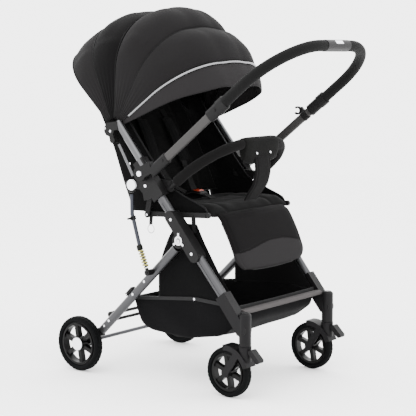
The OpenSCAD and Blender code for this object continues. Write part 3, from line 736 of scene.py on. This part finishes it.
o = pillow("buckle_shell", 24, 24, shell_place,
           lambda a, b: 0.009, lambda a, b: 0.006, buckle_black, sharp=4, rim=0.5)
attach(o, "front_frame")
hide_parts("buckle")
o = pillow("buckle_button", 18, 18, lambda a, b, h: spot(-4, 0, 574) + np.array([0.013 * a, 0.014 * b, h]),
           lambda a, b: 0.004, lambda a, b: 0.003, buckle_red, sharp=4, rim=0.5)
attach(o, "front_frame")

# ---------------------------------------------------------------------------
# Bumper bar: a bent tube in a padded sleeve, with a centre cover closed by two
# snaps and a broad padded crotch strap running down to the seat.
# ---------------------------------------------------------------------------
bar_tilt = math.radians(37.5)


def bar_point(s, y, up=0.0):
    return spot(61, y, 606) + np.array([s * math.cos(bar_tilt) - up * math.sin(bar_tilt), 0,
                                        s * math.sin(bar_tilt) + up * math.cos(bar_tilt)]) / 1000


bar_line = [(24, -216), (50, -216)]
bar_line += [(50 + 166 * math.sin(t), -50 - 166 * math.cos(t)) for t in np.linspace(0.08, math.pi / 2, 22)]
bar_line += [(s, -y) for s, y in bar_line[::-1]]
bar_path = [bar_point(*along_line(bar_line, t)) for t in np.linspace(0, 1, 220)]
thick = []
for i in range(220):
    t = i / 219
    end = min(1.0, min(t, 1 - t) / 0.012)
    round_end = 0.0155 * (0.55 + 0.45 * math.sqrt(max(0.0, 1 - (1 - end) ** 2)))
    pulls = 0.0012 * dent((i % 55) - 27.5, 1.2) * (0.2 < t < 0.8)
    thick.append(round_end + 0.0005 * math.sin(61 * t) * math.sin(17 * t) - pulls)
bar_cloth = cloth("bumper cloth", (0.0034, 0.0032, 0.0033), (0.0024, 0.0023, 0.0023), bump=0.3)
o = make("bumper_sleeve", *sweep(bar_path, thick, 28), bar_cloth)
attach(o, "front_frame")
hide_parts("bumper_pad")

cover_cloth = cloth("bumper cover cloth", (0.0028, 0.0028, 0.0026), (0.0021, 0.0021, 0.002), bump=0.3)
verts, faces = [], []
cols = 46
for i in range(cols):
    b = -1 + 2 * i / (cols - 1)
    y = 86 * b
    s = 216 if abs(y) <= 50 else 50 + math.sqrt(166 ** 2 - (abs(y) - 50) ** 2)
    c = bar_point(s, y) * 1000
    drop = 46 + 16 * (1 - abs(b) ** 3) + 1.5 * math.sin(7 * b)
    edge = 1 if abs(b) < 0.97 else 0.93
    section = [(c[0] + 17.4 * edge * math.cos(q), c[2] + 17.4 * edge * math.sin(q))
               for q in np.linspace(math.radians(-12), math.radians(214), 22)]
    back_low = (c[0] - 4.0, c[2] - drop)
    front_low = (c[0] + 7.0, c[2] - drop)
    last, first = section[-1], section[0]
    for q in (0.3, 0.6, 0.88):
        section.append((last[0] + (back_low[0] - last[0]) * q ** 0.8, last[1] + (back_low[1] - last[1]) * q))
    section += [back_low, (c[0] + 1.5, c[2] - drop - 4), front_low]
    for q in (0.25, 0.5, 0.75):
        ripple = 1.2 * math.sin(3 * math.pi * q) * math.sin(5 * b)
        section.append((front_low[0] + (first[0] - front_low[0]) * q ** 0.6 + ripple,
                        front_low[1] + (first[1] - front_low[1]) * q))
    for x, z in section:
        verts.append((x / 1000, y / 1000, z / 1000))
m = len(section)
for i in range(cols - 1):
    for k in range(m):
        q = (k + 1) % m
        faces.append((i * m + k, i * m + q, (i + 1) * m + q, (i + 1) * m + k))
faces += [tuple(range(m))[::-1], tuple(range((cols - 1) * m, cols * m))]
o = make("bumper_cover", verts, faces, cover_cloth)
face_out(o)
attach(o, "front_frame")

crotch_line = [(238, 704), (243, 684), (246, 647), (236, 609), (216, 584), (197, 556)]


def crotch_place(a, b, h):
    t = (a + 1) / 2
    p = soft_line(crotch_line, t, 0.07)
    q = soft_line(crotch_line, min(1, t + 0.02), 0.07) - soft_line(crotch_line, max(0, t - 0.02), 0.07)
    q = q / np.linalg.norm(q)
    half = 39 - 6 * t + 2.5 * math.sin(math.pi * t)
    return spot(p[0], half * b, p[1]) + np.array([-q[1] * h, 0, q[0] * h])


o = pillow("crotch_strap", 44, 26, crotch_place, lambda a, b: 0.0055 - 0.0018 * dent(abs(b) - 0.78, 0.06),
           lambda a, b: 0.0045, bar_cloth, sharp=8)
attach(o, "front_frame")

# ---------------------------------------------------------------------------
# Footrest: a leather-look padded board. The upper part is near black and the
# lower part is a lighter grey below a wavy seam.
# ---------------------------------------------------------------------------
foot_dark, foot_grey = [
    material("footrest " + name, color, 0.72, 0.0, spec=0.03, mottle=0.08, mottle_size=18, bump=0.3,
             bump_size=1100, rough_vary=0.05)
    for name, color in (("black", (0.0020, 0.0018, 0.0019)), ("grey", (0.0085, 0.0080, 0.0083)))]
foot_edge = material("footrest edge", (0.0030, 0.0029, 0.0030), 0.6, 0.0, bump=0.2)


def foot_place(a, b, h):
    # a runs from the top to the bottom, b from the right to the left
    round_off = 1 - 0.16 * max(0.0, (a - 0.55) / 0.45) ** 2.2 - 0.03 * max(0.0, (-a - 0.6) / 0.4) ** 2
    s = (a + 1) / 2
    lift = 7 * (1 - (2 * s - 1) ** 2)
    roll = 13 * max(0.0, (0.12 - s) / 0.12) ** 1.6
    x = 208 + 77 * s - roll + 0.9 * lift
    z = 528 - 160 * s + 0.43 * lift + 0.2 * roll - 7 * max(0, s - 0.8) * (1 - b * b) * 5
    return spot(x, 177 * b * round_off, z) + np.array([0.90, 0, 0.43]) * h


def wave(b):
    return 0.30 - 0.17 * math.sin(2.55 * b + 0.95) + 0.05 * b


def foot_top(a, b):
    seams = 0.0016 * dent(a - wave(b), 0.018) + 0.002 * dent(abs(b) - 0.93, 0.012)
    return 0.012 + 0.002 * (1 - b * b) - seams


o = pillow("footrest_cushion", 88, 84, foot_place, foot_top,
           lambda a, b: 0.008, [foot_dark, foot_grey, foot_edge], sharp=9, rim=0.42)
# the lighter grey starts where the height down the board passes the wavy seam
for p in o.data.polygons:
    down = (0.532 - p.center[2]) / 0.160
    p.material_index = 1 if 2 * down - 1 > wave(p.center[1] / 0.177) else 0
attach(o, "footrest")
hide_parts("footrest_pad")
rim_loop = []
for t in np.linspace(0, 2 * math.pi, 200, endpoint=False):
    rim_loop.append(foot_place(max(-1, min(1, 1.22 * math.sin(t))), max(-1, min(1, 1.22 * math.cos(t))), 0.0))
tube_piece("footrest_piping", rim_loop, 0.0023, foot_edge, "footrest", closed=True)

# ---------------------------------------------------------------------------
# Basket: thin dark cloth hangs from a bound rim between the rear and front legs
# and sags in the middle. A side cloth rises on each side to the fold pivot.
# ---------------------------------------------------------------------------
basket_cloth = cloth("basket cloth", (0.0022, 0.0022, 0.0024), (0.0013, 0.0013, 0.0015), bump=0.35, weave=700.0)
gusset_cloth = cloth("basket side cloth", (0.0018, 0.0018, 0.0019), (0.0011, 0.0011, 0.0012), bump=0.35, weave=700.0)
band_cloth = material("basket band", (0.0050, 0.0050, 0.0052), 0.6, 0.0, bump=0.3, bump_size=900, sheen=0.01)
fold_at = spot(115, 0, 450)


def fan_with_fold(o):
    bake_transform(o)
    fold_weight(o, fold_at)


under = [(-104, 249), (-90, 205), (-74, 170), (-36, 154), (103, 146), (236, 170), (298, 216), (301, 262)]
rows = 60
grid = []
for i in range(rows):
    t = i / (rows - 1)
    x, z = soft_line(under, t, 0.035)
    row = []
    for j in range(44):
        b = -1 + 2 * j / 43
        mid = 1 - b * b
        depth = math.sin(math.pi * t)
        sag = 9 * mid * depth ** 2 + 1.5 * math.sin(13 * t + 4 * b) * mid
        inward = 5 * math.sin(math.pi * t) * abs(b) ** 8
        row.append(spot(x - 4 * mid * (0.5 - t) * (1 - depth), (195.0 - inward) * b, z - sag + inward * 0.4))
    grid.append(row)
o, area = cloth_piece("basket_floor", grid, basket_cloth, 0.0012)
wide, long_way = 0.392, area / 0.392 * 1.02
fan_with_fold(o)
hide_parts("basket")

for end, side in (("right", -1), ("left", 1)):
    grid = []
    for i in range(20):
        t = i / 19
        row = []
        for j in range(56):
            u = j / 55
            x0, z0 = soft_line(under, u, 0.035)
            hem = along_line([(-104, 249), (137, 273), (225, 268), (301, 262)], u)
            x, z = np.array([x0, z0]) + (hem - np.array([x0, z0])) * t
            bow_out = math.sin(math.pi * t) * (5.5 * math.sin(math.pi * u) + 1.2 * math.sin(14 * u + 5 * t))
            low_in = 5 * math.sin(math.pi * u) * (1 - t) ** 4
            row.append(spot(x, side * (195.3 + bow_out - low_in), z))
        grid.append(row)
    o, area = cloth_piece("basket_side_" + end, grid, basket_cloth, 0.0012, side < 0)
    fan_with_fold(o)

    grid = []
    for i in range(30):
        t = i / 29
        a = soft_line([(-5, 250), (-5, 345), (12, 400), (35, 450), (70, 500)], t, 0.05)
        b = soft_line([(300, 262), (232, 352), (172, 446), (143, 500)], t, 0.05)
        row = []
        for j in range(34):
            u = j / 33
            x, z = a + (b - a) * u
            if t < 0.5:
                z += 10 * math.sin(math.pi * u) * (1 - 2 * t) ** 2
            puff = math.sin(math.pi * u) * (5 * math.sin(math.pi * t) + 1.6 * math.sin(8 * u + 5 * t))
            row.append(spot(x, side * (196.5 + puff * 0.6), z))
        grid.append(row)
    o, area = cloth_piece("basket_gusset_" + end, grid, gusset_cloth, 0.0012, side > 0)
    fan_with_fold(o)
    rim_line = [soft_line([(-106, 248), (137, 272), (225, 268), (304, 262)], t, 0.03)
                for t in np.linspace(0, 1, 60)]
    rim_path = [spot(x, side * 198.5, z) for x, z in rim_line]
    o = make("basket_band_" + end, *ribbon(rim_path, (0, 0, 1), 0.011, 0.003), band_cloth, smooth=False)
    fan_with_fold(o)
    if side < 0:
        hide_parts("basket_rim")
for name, x, z, width in (("rear", -104, 247, 0.012), ("front", 303, 260, 0.020)):
    path = [spot(x, y, z - 2 * (1 - (y / 198) ** 2)) for y in np.linspace(-199, 199, 50)]
    o = make("basket_band_" + name, *ribbon(path, (0, 0, 1), width, 0.003), band_cloth, smooth=False)
    fan_with_fold(o)

# ---------------------------------------------------------------------------
# Small hardware: the pull strap on its ring, the green spring collars, the hook
# rim behind each latch button and the pressed snaps on the cloth.
# ---------------------------------------------------------------------------
strap_line = [spot(-16, -216, 512), spot(-13, -222, 500), spot(-10, -226, 488)]
path = [soft_line(strap_line, t, 0.1) for t in np.linspace(0, 1, 12)]
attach(strap("ring_strap", path, (1, 0, 0), 0.012, 0.0016), "front_frame")
for end, side in (("right", -1), ("left", 1)):
    a, b = spot(-25, side * 258, 412), spot(-30, side * 258, 428)
    tube_piece("spring_collar_" + end, [a + (b - a) * t for t in (0, 0.04, 0.5, 0.96, 1)],
               [0.0062, 0.0092, 0.0095, 0.0088, 0.0064], collar_green, "struts", 24)
    arc = [spot(-63 + 20 * math.cos(q), side * 252, 608 + 20 * math.sin(q))
           for q in np.linspace(math.radians(150), math.radians(320), 30)]
    tube_piece("latch_rim_" + end, arc, 0.0048, black_plastic, "front_frame", 10)


def node_piece(name, me, sockets, middle, mat, body):
    """A mesh that a small node tree makes on the points of me. middle adds the nodes between its ends."""
    o = bpy.data.objects.new(name, me)
    bpy.context.scene.collection.objects.link(o)
    tree = bpy.data.node_groups.new(name, "GeometryNodeTree")
    tree.interface.new_socket("Geometry", in_out="INPUT", socket_type="NodeSocketGeometry")
    for label, value in sockets.items():
        socket = tree.interface.new_socket(label, in_out="INPUT", socket_type="NodeSocketFloat")
        socket.default_value = value
    tree.interface.new_socket("Geometry", in_out="OUTPUT", socket_type="NodeSocketGeometry")
    n, l = tree.nodes, tree.links
    gin, gout = n.new("NodeGroupInput"), n.new("NodeGroupOutput")
    real = n.new("GeometryNodeRealizeInstances")
    shade = n.new("GeometryNodeSetShadeSmooth")
    paint = n.new("GeometryNodeSetMaterial")
    paint.inputs["Material"].default_value = mat
    l.new(middle(n, l, gin), real.inputs["Geometry"])
    l.new(real.outputs["Geometry"], shade.inputs["Geometry"])
    l.new(shade.outputs["Geometry"], paint.inputs["Geometry"])
    l.new(paint.outputs["Geometry"], gout.inputs["Geometry"])
    mod = o.modifiers.new(name, "NODES")
    mod.node_group = tree
    for item in tree.interface.items_tree:
        if item.in_out == "INPUT" and item.name in sockets:
            mod[item.identifier] = sockets[item.name]
    bake(o)
    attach(o, body)
    return o


def unit_ball(n, segments, rings):
    ball = n.new("GeometryNodeMeshUVSphere")
    ball.inputs["Segments"].default_value = segments
    ball.inputs["Rings"].default_value = rings
    ball.inputs["Radius"].default_value = 1.0
    return ball.outputs["Mesh"]


def scatter(name, spots, radius, height, mat, body):
    """Domed snaps, one on each (point, outward direction)."""
    me = bpy.data.meshes.new(name + " places")
    me.from_pydata([tuple(map(float, p)) for p, _ in spots], [], [])
    att = me.attributes.new("outward", "FLOAT_VECTOR", "POINT")
    att.data.foreach_set("vector", np.array([d for _, d in spots], np.float32).ravel())

    def middle(n, l, gin):
        size = n.new("ShaderNodeCombineXYZ")
        place = n.new("GeometryNodeInstanceOnPoints")
        named = n.new("GeometryNodeInputNamedAttribute")
        named.data_type = "FLOAT_VECTOR"
        named.inputs["Name"].default_value = "outward"
        turn = n.new("FunctionNodeAlignRotationToVector")
        turn.axis = "Z"
        l.new(gin.outputs["Geometry"], place.inputs["Points"])
        l.new(unit_ball(n, 20, 10), place.inputs["Instance"])
        for axis, label in (("X", "Radius"), ("Y", "Radius"), ("Z", "Height")):
            l.new(gin.outputs[label], size.inputs[axis])
        l.new(size.outputs["Vector"], place.inputs["Scale"])
        l.new(named.outputs["Attribute"], turn.inputs["Vector"])
        l.new(turn.outputs["Rotation"], place.inputs["Rotation"])
        return place.outputs["Instances"]

    return node_piece(name, me, {"Radius": radius, "Height": height}, middle, mat, body)


front_dir = (0.96, 0, 0.25)
places = [(spot(249.6, -36, 706), front_dir), (spot(249.6, 34, 706), front_dir),
          (spot(227, -22, 622), (0.85, -0.3, -0.3)),
          (spot(-97, -222, 669), (0, -1, 0)), (spot(-97, 222, 669), (0, 1, 0))]
for side in (-1, 1):
    places += [(spot(x, side * 212.6, z), (0, side, 0)) for x, z in ((-31, 516), (60, 521.5))]
    places += [(spot(137, side * 200.6, 271), (0, side, 0)), (spot(-31, side * 221, 516), (0, side, 0))]
scatter("snaps", places, 0.0040, 0.0016, bright_metal, "front_frame")
places = [(spot(x, side * 252.2, z), (0, side, 0)) for side in (-1, 1) for x, z in ((-150, 768), (-172, 776))]
scatter("hinge_rivets", places, 0.0040, 0.0005, bright_metal, "front_frame")
places = []
for side in (-1, 1):
    places += [(spot(x, side * 236.4, z), (0, side, 0)) for x, z in ((-29, 312), (-76, 267))]
    places.append((spot(-98, side * 199.4, 248), (0, side, 0)))
scatter("rear_snaps", places, 0.0036, 0.0013, bright_metal, "rear_frame")


def stitches(name, path, spacing, length, radius, mat, body):
    """A row of short thread stitches along a path."""
    me = bpy.data.meshes.new(name + " line")
    me.from_pydata([tuple(map(float, p)) for p in path], [(i, i + 1) for i in range(len(path) - 1)], [])

    def middle(n, l, gin):
        line, points = n.new("GeometryNodeMeshToCurve"), n.new("GeometryNodeCurveToPoints")
        points.mode = "LENGTH"
        place = n.new("GeometryNodeInstanceOnPoints")
        place.inputs["Scale"].default_value = (radius, radius, length / 2)
        turn = n.new("FunctionNodeAlignRotationToVector")
        turn.axis = "Z"
        l.new(gin.outputs["Geometry"], line.inputs["Mesh"])
        l.new(line.outputs["Curve"], points.inputs["Curve"])
        l.new(gin.outputs["Spacing"], points.inputs["Length"])
        l.new(points.outputs["Points"], place.inputs["Points"])
        l.new(points.outputs["Tangent"], turn.inputs["Vector"])
        l.new(turn.outputs["Rotation"], place.inputs["Rotation"])
        l.new(unit_ball(n, 6, 5), place.inputs["Instance"])
        return place.outputs["Instances"]

    return node_piece(name, me, {"Spacing": spacing}, middle, mat, body)


thread = material("thread", (0.0025, 0.0024, 0.0025), 0.7)
for k, (deg, body, lift) in enumerate([(115.2, "hood_rib_2", 0.0012), (89.4, "hood_rib_3", 0.0022),
                                       (63.2, "hood_rib_4", 0.004)]):
    path = [fan_point(r + 0.0022 + lift, y, deg) for r, y in arch(0.3487, 0.2280, corner, 120)[14:-14]]
    stitches(f"hood_stitches_{k + 1}", path, 0.007, 0.0042, 0.0005, thread, body)
path = [foot_place(-0.90 + 0.02 * math.cos(3 * b), b, 0.0135) for b in np.linspace(-0.86, 0.86, 60)]
stitches("footrest_stitches", path, 0.006, 0.0036, 0.0005, thread, "footrest")
path = [foot_place(wave(b) - 0.03, b, 0.0125) for b in np.linspace(-0.9, 0.9, 90)]
stitches("footrest_wave_stitches", path, 0.006, 0.0036, 0.0005, thread, "footrest")

# ---------------------------------------------------------------------------
# Studio: pale floor, soft daylight from overhead and two large softboxes.
# ---------------------------------------------------------------------------
floor_half = 6
corners = [(x * floor_half, y * floor_half, -0.0005) for x, y in ((-1, -1), (1, -1), (1, 1), (-1, 1))]
floor = make("floor", corners, [(0, 1, 2, 3)],
             material("pale floor", (0.98, 0.98, 0.98), 0.9), smooth=False)
world = bpy.data.worlds.new("studio")
bpy.context.scene.world = world
world.use_nodes = True
world.node_tree.nodes["Background"].inputs["Color"].default_value = (1, 1, 1, 1)
world.node_tree.nodes["Background"].inputs["Strength"].default_value = 4.6
for name, power, size, at in [("key", 46, 2.2, (1.2, -2.6, 2.9)), ("fill", 18, 2.0, (2.8, 1.2, 1.9)),
                              ("top", 22, 2.4, (-0.6, 0.2, 3.2))]:
    data = bpy.data.lights.new(name, "AREA")
    data.energy = power
    data.size = size
    lamp = bpy.data.objects.new(name, data)
    bpy.context.scene.collection.objects.link(lamp)
    lamp.location = at
    v = np.array([0.0, 0.0, 0.55]) - np.array(at)
    lamp.rotation_euler = (math.atan2(math.hypot(v[0], v[1]), -v[2]), 0, math.atan2(v[1], v[0]) - math.pi / 2)
cam_data = bpy.data.cameras.new("camera")
cam_data.lens = 110.87
cam_data.sensor_width = 36
cam = bpy.data.objects.new("camera", cam_data)
bpy.context.scene.collection.objects.link(cam)
cam.location = (2.4417, -3.1704, 0.9961)
cam.rotation_euler = (math.radians(90 - 6.759), 0, math.radians(37.778))
bpy.context.scene.camera = cam
